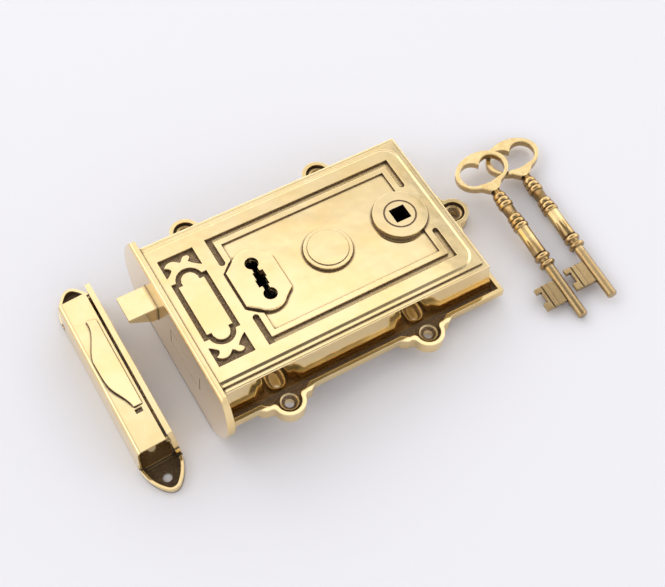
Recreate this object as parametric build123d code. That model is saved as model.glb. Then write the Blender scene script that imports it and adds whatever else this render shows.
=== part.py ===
from build123d import *
import math
import os

# Rim lock with its box keep and two keys, in millimetres.
# Origin: spindle axis on the mounting plane. +Z points out of the door,
# +X away from the forend, +Y along the forend towards the latch bolt.

# Case
CASE_HEIGHT = 25.0
CASE_FRONT_X = -120.0
LEDGE_HALF = 45.0
LEDGE_RIGHT = 23.5
LEDGE_DROP = 1.8
BORDER_INSET = 2.7
BORDER_DROP = 0.6
CROWN_INSET = 1.5
CROWN_CORNER = 9.0
CROWN_BEVEL = 1.3
CROWN_FOOT = 0.05
WALL_FLARE = 2.5
WALL_BULGE = 0.5
WALL_THICKNESS = 3.0
CASE_TOP_THICKNESS = 3.5
EDGE_SOFTENING = 0.7

LEDGE_Z = CASE_HEIGHT - LEDGE_DROP
BORDER_Z = CASE_HEIGHT - BORDER_DROP
CAVITY_TOP = CASE_HEIGHT - CASE_TOP_THICKNESS
CORNER_MIDDLE_X = (CASE_FRONT_X + LEDGE_RIGHT) / 2

# Flange with its raised rim and five screw lugs
RIM_HALF = 52.0
RIM_RIGHT = 29.7
RIM_WIDTH = 2.0
RIM_Z = 6.5
CHANNEL_Z = 3.7
FLANGE_UNDER = 2.0
LUG_SPACING_X = 76.2
LUG_FIRST_X = -91.5
LUG_RADIUS = 8.0
LUG_HOLE_OUT = 2.0
END_HOLE_OUT = 4.1
LUG_SPACING_Y = 2 * (RIM_HALF + LUG_HOLE_OUT)
LUG_END_X = RIM_RIGHT + END_HOLE_OUT
SHOULDER_HALF = 15.0
SHOULDER_RISE = 2.4
SHOULDER_SLOPE = 3.4
SHOULDER_ROUND = 2.2
LUG_ROOT = 6.0
LUG_PAD_ROOT = 2.0
SCREW_BOSS_RADIUS = 4.6
SCREW_BOSS_Z = 5.3
SCREW_HOLE_RADIUS = 2.3
SCREW_SINK_DEPTH = 1.8

# Forend
FOREND_TOP_X = -123.2
FOREND_LEAN = 0.05
FOREND_TOP_RISE = 1.0
FOREND_BROW = 2.0
FOREND_DEPTH = 41.5
FOREND_TOP_OUT = 2.8
FOREND_FOOT_IN = 14.0
LIP_THICKNESS = 2.4
LIP_FILLET = 1.4

# Side of the forend: how far beyond the rim, and at what share of its height
FOREND_SIDE = ((1.0, 0.79), (3.0, 0.60), (2.2, 0.41), (-0.8, 0.25), (-5.0, 0.12))

# Panel on the front of the case
PANEL_LEFT = -90.5
PANEL_RIGHT = 12.3
PANEL_HALF = 33.0
GROOVE_WIDTH = 3.2
GROOVE_DEPTH = 1.6
FRAME_WIDTH = 2.9
FIELD_DEPTH = 1.0
LEFT_GAP_HALF = 15.5
RIGHT_GAP_HALF = 14.2

# Recessed ornament beside the forend
ORNAMENT_DEPTH = 1.6
CARTOUCHE_X = -106.4
CARTOUCHE_HALF = (6.6, 14.6)
CARTOUCHE_NECK = (4.3, 16.8)
CARTOUCHE_DOME_Y = 16.2
CARTOUCHE_DOME = 4.1
CARTOUCHE_GROOVE = 2.7

# Leaf spray, from the middle line of the cartouche
SPRAY_SIDES = (-9.4, 9.2)
SPRAY_FOOT_Y = 21.3
SPRAY_HEAD_Y = 32.3
SPRAY_STEM = ((-7.4, 22.6), (-5.4, 24.7))
SPRAY_LEAF_LOW = ((-6.6, 26.6), (-8.0, 27.2))
SPRAY_LEAF_LEFT = ((-5.2, 29.3), (-1.2, 28.0))
SPRAY_CLEFT = (0.1, 26.9)
SPRAY_LEAF_RIGHT = ((1.4, 28.0), (3.6, 29.6), (5.6, 28.4))
SPRAY_LEAF_END = ((4.9, 27.2), (3.8, 26.2))
SPRAY_RETURN = ((5.3, 24.4), (7.2, 22.7))

# Parts on the face
BOSS_RADIUS = 13.6
BOSS_RISE = 2.0
ROUNDEL_X = -40.6
ROUNDEL_RADIUS = 12.0
ROUNDEL_RING = 10.0
ROUNDEL_RISE = 1.4
ROUNDEL_STEP = 0.5
ESCUTCHEON_X = -78.2
ESCUTCHEON_HALF = 12.0
ESCUTCHEON_SIDE = 10.5
ESCUTCHEON_DOME = 8.8
ESCUTCHEON_END = 18.0
ESCUTCHEON_SHOULDER = (6.5, 14.9)
ESCUTCHEON_RISE = 1.3
ESCUTCHEON_BEVEL = 0.3
ESCUTCHEON_MOAT = 1.1

# Key and keyhole
KEYHOLE_X = -77.1
KEYHOLE_END = 9.5
KEYHOLE_ROUND = 3.4
KEYHOLE_NECK = 3.0
KEYHOLE_BLOCK_HALF_Y = 4.25
KEYHOLE_BLOCK_HALF_X = 2.4
KEYHOLE_STEP = 0.75
KEY_BOW_CENTRE = 94.3
KEY_SHANK_RADIUS = 2.6
KEY_BARREL_RADIUS = 3.5
KEY_RING_RADIUS = 4.2
KEY_SIDES = 12
BIT_REACH = 13.8
BIT_LENGTH = 12.7
BIT_THICKNESS = 2.3
BIT_TIP = 10.5
BOW_HALF_WIDTH = 14.6
BOW_HALF_HEIGHT = 10.8
BOW_THICKNESS = 3.8
BOW_OVERLAP = 0.8
BOW_LOBE_X = 5.7
BOW_LOBE_Y = -0.4
BOW_LOBE_HALF = 6.5
BOW_LOBE_HEIGHT = 7.0
BOW_NOTCH_Y = -2.6
BOW_NOTCH_HALF = 10.0
BOW_NOTCH_HEIGHT = 5.6
BOW_WEDGE = (7.5, 2.2)
BOW_WEDGE_TOP = -8.2
BOW_WEDGE_FOOT = -13.5
BIT_NOTCH = (14.4, 20.4)
BIT_NOTCH_DEPTH = 2.4
BIT_WEB_SINK = 0.35
BIT_EDGE = (0.0, 3.6)
BIT_RIDGE = (4.4, 6.6)
RING_GROUPS = (56.7, 71.1)
RING_PITCH = 2.8
RING_COUNT = 3
RING_TAPER = 0.25
RING_VALLEY = 3.2
RING_CREST = 0.35
KEY_TIP_BEVEL = 0.5
KEY_NECK_STEP = 0.3
COLLARS = ((32.3, 1.1), (36.8, 1.4))
COLLAR_CREST = 0.4

# Fits
RUNNING = 0.1
SLIDING = 0.15
APART = 0.3
MOUTH_END_GAP = 0.5
PLATE_KEYHOLE_GAP = 0.2

# Back plate
PLATE_THICKNESS = 1.5
PLATE_LEDGE = 1.6
PLATE_SCREW_RADIUS = 1.6
PLATE_SCREW_HEAD = 3.0
PLATE_SCREW_LENGTH = 9.0
PLATE_SCREW_SLOT = 0.8
PLATE_SCREW_GAP = 0.1
PILLAR_HALF = 3.4
PILLAR_INSET = 5.2

# Follower and latch
SPINDLE_SQUARE = 8.0
FOLLOWER_RADIUS = 7.8
HORN_REACH = 18.0
HORN_HALF = 3.0
HORN_TURN = 43.0
HUB_CLEARANCE = 1.5
BOLT_BOTTOM = 2.0
BOLT_TOP = 12.0
TAIL_THICKNESS = 3.0
LATCH_FROM_EDGE = 13.5
LATCH_WIDTH = 14.5
LATCH_Y1 = LEDGE_HALF - LATCH_FROM_EDGE
LATCH_Y0 = LATCH_Y1 - LATCH_WIDTH
LATCH_REACH = 14.8
LATCH_TRAVEL = 13.5
LATCH_HEAD_BACK = -102.0
LATCH_TIP_THICKNESS = 2.0
LATCH_SHOULDER = 3.0
YOKE_BAR = 3.0
YOKE_HALF = 20.6
TAIL_IN_YOKE = 1.1
TAIL_WIDTH = 7.0
TAIL_Y0 = YOKE_HALF - TAIL_IN_YOKE
TAIL_Y1 = TAIL_Y0 + TAIL_WIDTH
POST_RADIUS = 2.5
LATCH_POST_X = -58.0
LATCH_LUG_X = -77.0
LATCH_LUG_THICKNESS = 3.0
LATCH_LUG_OUT = 5.0
LATCH_LUG_Y = TAIL_Y1 + LATCH_LUG_OUT
SPRING_POST_FROM_EDGE = 8.0
SPRING_POST = (-50.0, LEDGE_HALF - SPRING_POST_FROM_EDGE)
SPRING_POST_RADIUS = 1.5
SPRING_LEG = (5.0, 16.0)
SPRING_CONTACT_IN = 1.5

# Deadbolt and levers
DEAD_FROM_EDGE = 18.5
DEAD_WIDTH = 29.5
DEAD_Y0 = DEAD_FROM_EDGE - LEDGE_HALF
DEAD_Y1 = DEAD_Y0 + DEAD_WIDTH
DEAD_THROW = 14.0
DEAD_HEAD_BACK = -102.0
DEAD_TAIL_FROM_EDGE = 11.0
DEAD_TAIL_Y0 = DEAD_TAIL_FROM_EDGE - LEDGE_HALF
DEAD_TAIL_Y1 = -17.5
DEAD_TAIL_END = -38.0
DEAD_TAIL_STEP_X = -93.0
STUMP_X = -87.0
STUMP_FROM_EDGE = 17.0
STUMP_Y = STUMP_FROM_EDGE - LEDGE_HALF
STUMP_SIZE = 3.0
TALON_DEPTH_MARGIN = 0.5
TALON_FLARE = 4.5
LEVER_PIVOT_X = -58.0
LEVER_PIVOT_FROM_EDGE = 16.0
LEVER_PIVOT_Y = LEVER_PIVOT_FROM_EDGE - LEDGE_HALF
LEVER_THICKNESS = 1.8
LEVER_GAP = 0.3
LEVER_DROP = 2.5
LEVER_COUNT = 2
LEVER_END = 5.5
LEVER_ARM = 4.0
LEVER_BACK = 7.0
LEVER_BELLY = 7.2
LEVER_LIFT = 1.2
LEVER_LIFT_STEP = 0.5
LEVER_SPRING_ROOT = 16.0
LEVER_SPRING_REACH = 16.0
SPRING_STRIP = 0.6

# Keep, lying on the same table as the lock
KEEP_X0 = -192.5
KEEP_X1 = -177.7
KEEP_FOOT_X = -194.7
KEEP_Y0 = -41.6
KEEP_Y1 = 48.6
KEEP_HEIGHT = 20.0
KEEP_ROUND = 2.5
KEEP_WALL = 2.4
KEEP_EDGE_X0 = -176.3
KEEP_EDGE_X1 = -173.6
KEEP_EDGE_Y0 = -40.0
KEEP_EDGE_Y1 = 52.3
KEEP_EDGE_TOP = 20.6
KEEP_EDGE_SPREAD = 3.6
KEEP_LUG_RIM = 3.4
KEEP_LUG_RIM_WIDTH = 1.5
KEEP_LUG_FLOOR = 1.2
KEEP_LUG_REACH = 16.9
KEEP_LUG_END = (3.8, 15.2)
KEEP_LUG_SIDE = (8.4, 8.6)
KEEP_HOLE_X = -184.9
KEEP_HOLE_OUT = 8.9
KEEP_MOUTH_GAP = 0.5
KEEP_AXIS_Y = 3.5

# Leaf on the keep, and the slot at its tip
LEAF_RISE = 2.0
LEAF_THIN = 0.2
LEAF_CREST_X = -189.5
LEAF_BACK_X = -179.2
LEAF_BACK_Y = 32.0
LEAF_HEAD = (-184.0, 33.2)
LEAF_TIP = (-183.4, -19.6)
LEAF_BELLY = (-190.1, 10.5)
LEAF_LOWER = ((-185.6, -12.9), (-188.6, -6.5), (-189.9, 3.0))
LEAF_UPPER = ((-187.0, 19.5), (-184.4, 26.0))
LEAF_SLOT = (-183.9, -180.3, -23.2, -20.9)

# Keys on the table, by the tip and the heading of each, and the lean of the one on top
KEY_REAR_TIP = (45.5, -81.0)
KEY_FRONT_TIP = (27.5, -82.2)
KEY_REAR_HEADING = -2.7
KEY_FRONT_HEADING = -1.4
KEY_FRONT_LEAN = 3.8

# The set lies on a table that touches the lip of the forend and the end lug
LIP_X = FOREND_TOP_X - FOREND_LEAN * FOREND_DEPTH
LIP_Z = CASE_HEIGHT - FOREND_DEPTH
FOREND_TOP_Z = CASE_HEIGHT + FOREND_TOP_RISE
TABLE_SLOPE = -LIP_Z / (LUG_END_X + LUG_RADIUS - LIP_X - LIP_THICKNESS)
TABLE = Plane(
    origin=(RIM_RIGHT, 0, -TABLE_SLOPE * (LUG_END_X + LUG_RADIUS - RIM_RIGHT)),
    x_dir=(1, 0, TABLE_SLOPE),
    z_dir=(-TABLE_SLOPE, 0, 1),
)


def slab(x0, x1, y0, y1, z0, z1):
    """Box between two corners."""
    return Pos((x0 + x1) / 2, (y0 + y1) / 2, (z0 + z1) / 2) * Box(x1 - x0, y1 - y0, z1 - z0)


def rect(x0, x1, y0, y1):
    """Flat rectangle between two corners."""
    return Pos((x0 + x1) / 2, (y0 + y1) / 2) * Rectangle(x1 - x0, y1 - y0)


def disc(x, y, radius):
    return Pos(x, y) * Circle(radius)


def rod(x, y, radius, z0, z1):
    """Upright cylinder."""
    return Pos(x, y, (z0 + z1) / 2) * Cylinder(radius, z1 - z0)


def prism(face, z0, z1):
    """Flat shape in XY raised from z0 to z1."""
    return extrude(Pos(0, 0, z0) * face, z1 - z0)


def along_x(face, x0, x1):
    """Section drawn in Y and height, run from x0 to x1."""
    return extrude(Pos(x0, 0, 0) * (Plane.YZ * face), x1 - x0)


def along_y(face, y0, y1):
    """Section drawn in X and height, run from y0 to y1."""
    return extrude(Pos(0, y1, 0) * (Plane.XZ * face), y1 - y0)


def polygon(points):
    """Closed flat polygon through points given in XY."""
    return make_face(Polyline(*points, close=True))


def mirror_y(shape):
    return mirror(shape, about=Plane.XZ)


def lug_centres():
    """Centres of the five screw holes."""
    columns = (LUG_FIRST_X, LUG_FIRST_X + LUG_SPACING_X)
    sides = [(x, side * LUG_SPACING_Y / 2) for x in columns for side in (1, -1)]
    return sides + [(LUG_END_X, 0.0)]


def lug_shape(inset, reach_in, out):
    """One lug: a round eye and two soft shoulders, drawn on an edge along X at y = 0."""
    eye = disc(0, out, LUG_RADIUS - inset)
    half = SHOULDER_HALF - inset
    top = SHOULDER_RISE - inset
    slope = half - SHOULDER_SLOPE
    base = [(half, 0 - inset), (half, -reach_in), (-half, -reach_in), (-half, 0 - inset)]
    shoulders = polygon([(-slope, top), (slope, top)] + base)
    corners = shoulders.vertices().sort_by(Axis.Y)[-2:]
    shape = eye + fillet(corners, SHOULDER_ROUND)
    waist = [v for v in shape.vertices() if abs(v.Y - top) < RUNNING and abs(v.X) < LUG_RADIUS]
    return fillet(waist, SHOULDER_ROUND)


def lug(centre, inset, reach_in):
    """A lug on its own edge of the flange."""
    x, y = centre
    if y > 0:
        return Pos(x, RIM_HALF) * lug_shape(inset, reach_in, LUG_HOLE_OUT)
    if y < 0:
        return Pos(x, -RIM_HALF) * Rot(0, 0, 180) * lug_shape(inset, reach_in, LUG_HOLE_OUT)
    return Pos(RIM_RIGHT, 0) * Rot(0, 0, -90) * lug_shape(inset, reach_in, END_HOLE_OUT)


def flange_outline(inset):
    """Outline of the flange, drawn in by an inset."""
    face = rect(CASE_FRONT_X, RIM_RIGHT - inset, -RIM_HALF + inset, RIM_HALF - inset)
    for centre in lug_centres():
        face += lug(centre, inset, LUG_ROOT)
    return face


def wall_line(flare, ledge, base_z):
    """Half section of the case from the base up to the middle of its crown."""
    low = Vector(ledge + flare, base_z)
    high = Vector(ledge, LEDGE_Z - EDGE_SOFTENING)
    waist = (low + high) * 0.5 - Vector(WALL_BULGE, 0)
    wall = ThreePointArc(low, waist, high)
    corner = RadiusArc(high, (ledge - EDGE_SOFTENING, LEDGE_Z), -EDGE_SOFTENING)
    step_in = ledge - BORDER_INSET
    return wall, corner, step_in


def case_block():
    """Moulded block: the two wall sections meet in mitred corners."""
    wall, corner, border = wall_line(WALL_FLARE, LEDGE_HALF, CHANNEL_Z)
    right = wall + corner + Polyline(
        (LEDGE_HALF - EDGE_SOFTENING, LEDGE_Z),
        (border, LEDGE_Z),
        (border, BORDER_Z),
        (0, BORDER_Z),
        (0, 0),
        (LEDGE_HALF + WALL_FLARE, 0),
        (LEDGE_HALF + WALL_FLARE, CHANNEL_Z),
    )
    half = make_face(right)
    sides = along_x(half + mirror(half, about=Plane.YZ), CASE_FRONT_X, LEDGE_RIGHT + WALL_FLARE + 1)
    wall, corner, border = wall_line(WALL_FLARE, LEDGE_RIGHT, CHANNEL_Z)
    end = wall + corner + Polyline(
        (LEDGE_RIGHT - EDGE_SOFTENING, LEDGE_Z),
        (border, LEDGE_Z),
        (border, BORDER_Z),
        (CASE_FRONT_X, BORDER_Z),
        (CASE_FRONT_X, 0),
        (LEDGE_RIGHT + WALL_FLARE, 0),
        (LEDGE_RIGHT + WALL_FLARE, CHANNEL_Z),
    )
    reach = LEDGE_HALF + WALL_FLARE + 1
    return sides & along_y(make_face(end), -reach, reach)


def crown():
    """Flat top with round corners at the end away from the forend."""
    half = LEDGE_HALF - BORDER_INSET - CROWN_INSET
    right = LEDGE_RIGHT - BORDER_INSET - CROWN_INSET
    face = rect(CASE_FRONT_X, right, -half, half)
    corners = face.vertices().sort_by(Axis.X)[-2:]
    top = prism(fillet(corners, CROWN_CORNER), BORDER_Z - 1, CASE_HEIGHT)
    rim = [
        edge
        for edge in top.faces().sort_by(Axis.Z)[-1].edges()
        if edge.center().X > CASE_FRONT_X + 1
    ]
    return chamfer(rim, BORDER_DROP - CROWN_FOOT, CROWN_BEVEL)


def cartouche(grow):
    """Long cartouche with stepped shoulders and domed ends; grow widens it evenly."""
    half_x, half_y = (half + grow for half in CARTOUCHE_HALF)
    neck_x, neck_y = CARTOUCHE_NECK
    shape = rect(-half_x, half_x, -half_y, half_y)
    shape += rect(-neck_x - grow, neck_x + grow, -neck_y, neck_y)
    for side in (1, -1):
        shape += disc(0, side * CARTOUCHE_DOME_Y, CARTOUCHE_DOME + grow)
    return Pos(CARTOUCHE_X, 0) * shape


def leaf_recess():
    """Recess round a leaf spray between the cartouche and the end of the case."""
    left, right = SPRAY_SIDES
    foot = (left, SPRAY_FOOT_Y)
    end = (right, SPRAY_FOOT_Y)
    fork = SPRAY_STEM[-1]
    line = (
        Polyline(end, (right, SPRAY_HEAD_Y), (left, SPRAY_HEAD_Y), foot)
        + Spline(foot, *SPRAY_STEM)
        + ThreePointArc(fork, *SPRAY_LEAF_LOW)
        + ThreePointArc(SPRAY_LEAF_LOW[-1], *SPRAY_LEAF_LEFT)
        + Polyline(SPRAY_LEAF_LEFT[-1], SPRAY_CLEFT, SPRAY_LEAF_RIGHT[0])
        + ThreePointArc(*SPRAY_LEAF_RIGHT)
        + ThreePointArc(SPRAY_LEAF_RIGHT[-1], *SPRAY_LEAF_END)
        + Spline(SPRAY_LEAF_END[-1], *SPRAY_RETURN, end)
    )
    return Pos(CARTOUCHE_X, 0) * make_face(line)


def escutcheon_outline(grow):
    """Plate round the keyhole: straight sides, sloping shoulders and domed ends."""
    half = ESCUTCHEON_HALF + grow
    side = ESCUTCHEON_SIDE + grow / 2
    neck_x, neck_y = (reach + grow for reach in ESCUTCHEON_SHOULDER)
    shape = polygon([(half, -side), (half, side), (neck_x, neck_y), (0, 0), (neck_x, -neck_y)])
    shape += mirror(shape, about=Plane.YZ)
    middle = ESCUTCHEON_END - ESCUTCHEON_DOME
    for sign in (1, -1):
        shape += disc(0, sign * middle, ESCUTCHEON_DOME + grow)
    shape += rect(-neck_x, neck_x, -middle, middle)
    return Pos(ESCUTCHEON_X, 0) * shape


def keyhole(grow):
    """Keyhole with a round at each end and a stepped block in the middle."""
    shape = rect(-KEYHOLE_NECK / 2 - grow, KEYHOLE_NECK / 2 + grow, -KEYHOLE_END, KEYHOLE_END)
    for sign in (1, -1):
        shape += disc(0, sign * KEYHOLE_END, KEYHOLE_ROUND + grow)
        step = KEYHOLE_BLOCK_HALF_X + KEYHOLE_STEP + grow
        inner, outer = sorted((0.0, sign * (KEYHOLE_BLOCK_HALF_Y + grow)))
        left, right = sorted((-sign * KEYHOLE_BLOCK_HALF_X, sign * step))
        shape += rect(left, right, inner, outer)
    return Pos(KEYHOLE_X, 0) * shape


def panel_cuts():
    """Groove and sunk field of the panel."""
    outer = rect(PANEL_LEFT, PANEL_RIGHT, -PANEL_HALF, PANEL_HALF)
    w = GROOVE_WIDTH
    inner = rect(PANEL_LEFT + w, PANEL_RIGHT - w, -PANEL_HALF + w, PANEL_HALF - w)
    ring = outer - inner
    for x0, x1, half in (
        (PANEL_LEFT, PANEL_LEFT + w, LEFT_GAP_HALF),
        (PANEL_RIGHT - w, PANEL_RIGHT, RIGHT_GAP_HALF),
    ):
        middle = (x0 + x1) / 2
        stop = half + w / 2
        ring -= rect(x0 - 1, x1 + 1, -stop, stop)
        for sign in (1, -1):
            ring += disc(middle, sign * stop, w / 2)
    groove = prism(ring, CASE_HEIGHT - GROOVE_DEPTH, CASE_HEIGHT + 1)
    f = w + FRAME_WIDTH
    field = rect(PANEL_LEFT + f, PANEL_RIGHT - f, -PANEL_HALF + f, PANEL_HALF - f)
    field += escutcheon_outline(ESCUTCHEON_MOAT)
    return groove + prism(field, CASE_HEIGHT - FIELD_DEPTH, CASE_HEIGHT + 1)


def pillar_centres():
    """Screw pillars in two opposite corners of the case."""
    x0 = CASE_FRONT_X + WALL_THICKNESS + PILLAR_INSET
    x1 = LEDGE_RIGHT - WALL_THICKNESS - PILLAR_INSET
    y = LEDGE_HALF - WALL_THICKNESS - PILLAR_INSET
    return [(x0, y), (x1, -y)]


def corner_block(x, y):
    """Square pillar that fills a corner of the cavity round a screw."""
    out_x = math.copysign(PILLAR_INSET, x - CORNER_MIDDLE_X)
    out_y = math.copysign(PILLAR_INSET, y)
    x0, x1 = sorted((x + out_x, x - math.copysign(PILLAR_HALF, out_x)))
    y0, y1 = sorted((y + out_y, y - math.copysign(PILLAR_HALF, out_y)))
    return slab(x0, x1, y0, y1, PLATE_THICKNESS, CAVITY_TOP + 1)


def cavity_outline():
    x0 = CASE_FRONT_X + WALL_THICKNESS
    x1 = LEDGE_RIGHT - WALL_THICKNESS
    half = LEDGE_HALF - WALL_THICKNESS
    return rect(x0, x1, -half, half)


def front_case():
    """Cast case with its flange, lugs, panel and the cavity behind."""
    body = case_block() + crown()
    flange = prism(flange_outline(0), FLANGE_UNDER, RIM_Z)
    flange -= prism(flange_outline(RIM_WIDTH), CHANNEL_Z, RIM_Z + 1)
    for centre in lug_centres():
        flange += prism(lug(centre, 0, LUG_PAD_ROOT), 0, (FLANGE_UNDER + CHANNEL_Z) / 2)
        x, y = centre
        flange += rod(x, y, SCREW_BOSS_RADIUS, FLANGE_UNDER, SCREW_BOSS_Z)
    body += flange
    for x, y in lug_centres():
        body -= rod(x, y, SCREW_HOLE_RADIUS, -1, RIM_Z + 1)
        sink = Cone(SCREW_HOLE_RADIUS, SCREW_BOSS_RADIUS, SCREW_SINK_DEPTH)
        body -= Pos(x, y, SCREW_BOSS_Z - SCREW_SINK_DEPTH / 2) * sink
    cavity = prism(cavity_outline(), -1, CAVITY_TOP)
    for x, y in pillar_centres():
        cavity -= corner_block(x, y)
    body -= cavity
    body -= prism(plate_outline(0), -1, PLATE_THICKNESS)
    for x, y in pillar_centres():
        body -= rod(x, y, PLATE_SCREW_RADIUS, 0, PLATE_SCREW_LENGTH + 1)
    body -= forend_openings(CASE_FRONT_X - 1, CASE_FRONT_X + WALL_THICKNESS + 1)
    body -= panel_cuts()
    ring = cartouche(CARTOUCHE_GROOVE) - cartouche(0)
    spray = leaf_recess()
    for shape in (ring, spray, mirror_y(spray)):
        body -= prism(shape, CASE_HEIGHT - ORNAMENT_DEPTH, CASE_HEIGHT + 1)
    body += rod(0, 0, BOSS_RADIUS, CAVITY_TOP + FIELD_DEPTH, CASE_HEIGHT + BOSS_RISE)
    body -= rod(0, 0, FOLLOWER_RADIUS + RUNNING, CAVITY_TOP - 1, CASE_HEIGHT + BOSS_RISE + 1)
    body -= prism(keyhole(0), CAVITY_TOP - 1, CASE_HEIGHT + 1)
    return body


def plate_outline(gap):
    """Back plate outline, drawn in by a gap."""
    x0 = CASE_FRONT_X + WALL_THICKNESS - PLATE_LEDGE + gap
    x1 = LEDGE_RIGHT - WALL_THICKNESS + PLATE_LEDGE - gap
    half = LEDGE_HALF - WALL_THICKNESS + PLATE_LEDGE - gap
    return rect(x0, x1, -half, half)


def forend_openings(x0, x1):
    """Openings for the latch bolt and the deadbolt."""
    g = SLIDING
    latch = slab(x0, x1, LATCH_Y0 - g, LATCH_Y1 + g, BOLT_BOTTOM - g, BOLT_TOP + g)
    e = MOUTH_END_GAP
    dead = slab(x0, x1, DEAD_Y0 - e, DEAD_Y1 + e, BOLT_BOTTOM - g, BOLT_TOP + g)
    return latch + dead


def forend_front(z):
    """X of the leaning front face at a height."""
    return FOREND_TOP_X - FOREND_LEAN * (CASE_HEIGHT - z)


def forend_outline():
    """Front view of the forend, in Y and height."""
    top, bottom = FOREND_TOP_Z, LIP_Z
    start = (LEDGE_HALF + FOREND_TOP_OUT, top)
    end = (RIM_HALF - FOREND_FOOT_IN, bottom)
    side = [(RIM_HALF + out, bottom + share * (top - bottom)) for out, share in FOREND_SIDE]
    curve = Spline(start, *side, end)
    half = make_face(Polyline(end, (0, bottom), (0, top), start) + curve)
    return half + mirror(half, about=Plane.YZ)


def forend():
    """Leaning front plate whose lip hangs below the flange over the door's edge."""
    lip_x = forend_front(LIP_Z)
    brow = (forend_front(FOREND_TOP_Z), FOREND_TOP_Z)
    root = (forend_front(0) + LIP_THICKNESS, 0)
    section = polygon(
        [
            (CASE_FRONT_X, FOREND_TOP_Z),
            (CASE_FRONT_X, 0),
            root,
            (lip_x + LIP_THICKNESS, LIP_Z),
            (lip_x, LIP_Z),
            brow,
        ]
    )
    for corner, radius in ((brow, FOREND_BROW), (root, LIP_FILLET)):
        section = fillet(section.vertices().sort_by_distance(corner)[0], radius)
    reach = 2 * RIM_HALF
    plate = along_y(section, -reach, reach) & along_x(forend_outline(), lip_x - 1, CASE_FRONT_X + 1)
    return plate - forend_openings(lip_x - 2, CASE_FRONT_X + 1)


def back_plate():
    """Steel cap that closes the back of the case."""
    plate = prism(plate_outline(SLIDING), 0, PLATE_THICKNESS)
    plate -= rod(0, 0, FOLLOWER_RADIUS + RUNNING, -1, PLATE_THICKNESS + 1)
    plate -= prism(keyhole(PLATE_KEYHOLE_GAP), -1, PLATE_THICKNESS + 1)
    for x, y in pillar_centres():
        plate -= Pos(x, y, PLATE_THICKNESS / 2) * screw_head(PLATE_SCREW_GAP)
    return plate


def screw_head(gap):
    """Countersunk head as deep as the back plate is thick, centred on it."""
    return Cone(PLATE_SCREW_HEAD + gap, PLATE_SCREW_RADIUS - RUNNING + gap, PLATE_THICKNESS)


def back_plate_screws():
    """Slotted countersunk screws that hold the back plate."""
    screws = []
    half = PLATE_SCREW_SLOT / 2
    for x, y in pillar_centres():
        screw = Pos(x, y, PLATE_THICKNESS / 2) * screw_head(0)
        screw += rod(x, y, PLATE_SCREW_RADIUS - RUNNING, PLATE_THICKNESS, PLATE_SCREW_LENGTH)
        reach = PLATE_SCREW_HEAD + 1
        screws.append(screw - slab(x - reach, x + reach, y - half, y + half, -1, PLATE_SCREW_SLOT))
    return screws


def keyhole_escutcheon():
    """Raised plate round the keyhole with a softened edge."""
    top = CASE_HEIGHT + ESCUTCHEON_RISE
    plate = prism(escutcheon_outline(0), CASE_HEIGHT - FIELD_DEPTH, top)
    plate = chamfer(plate.faces().sort_by(Axis.Z)[-1].edges(), ESCUTCHEON_BEVEL)
    return plate - prism(keyhole(0), CAVITY_TOP, top + 1)


def roundel():
    """Round badge: a bevelled rim round a bare raised disc."""
    seat = CASE_HEIGHT - FIELD_DEPTH
    top = CASE_HEIGHT + ROUNDEL_RISE
    badge = rod(ROUNDEL_X, 0, ROUNDEL_RADIUS, seat, top - ROUNDEL_STEP)
    return badge + rod(ROUNDEL_X, 0, ROUNDEL_RING, top - ROUNDEL_STEP, top)


def tail_layer():
    """Heights of the bolt tails, the follower's horns and the latch yoke."""
    return BOLT_TOP - TAIL_THICKNESS, BOLT_TOP


def follower():
    """Hub with a square hole and two horns that bear on the latch yoke."""
    z0, z1 = tail_layer()
    hub = rod(0, 0, FOLLOWER_RADIUS, 0, CASE_HEIGHT + BOSS_RISE)
    horns = prism(rect(-HORN_HALF, HORN_HALF, -HORN_REACH, HORN_REACH), z0, z1)
    body = hub + horns
    square = Box(SPINDLE_SQUARE, SPINDLE_SQUARE, 4 * CASE_HEIGHT)
    return body - square


def horn_swing():
    """How far a horn's corner gets from the spindle's line along X at full turn."""
    turn = math.radians(HORN_TURN)
    return HORN_REACH * math.sin(turn) + HORN_HALF * math.cos(turn)


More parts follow.
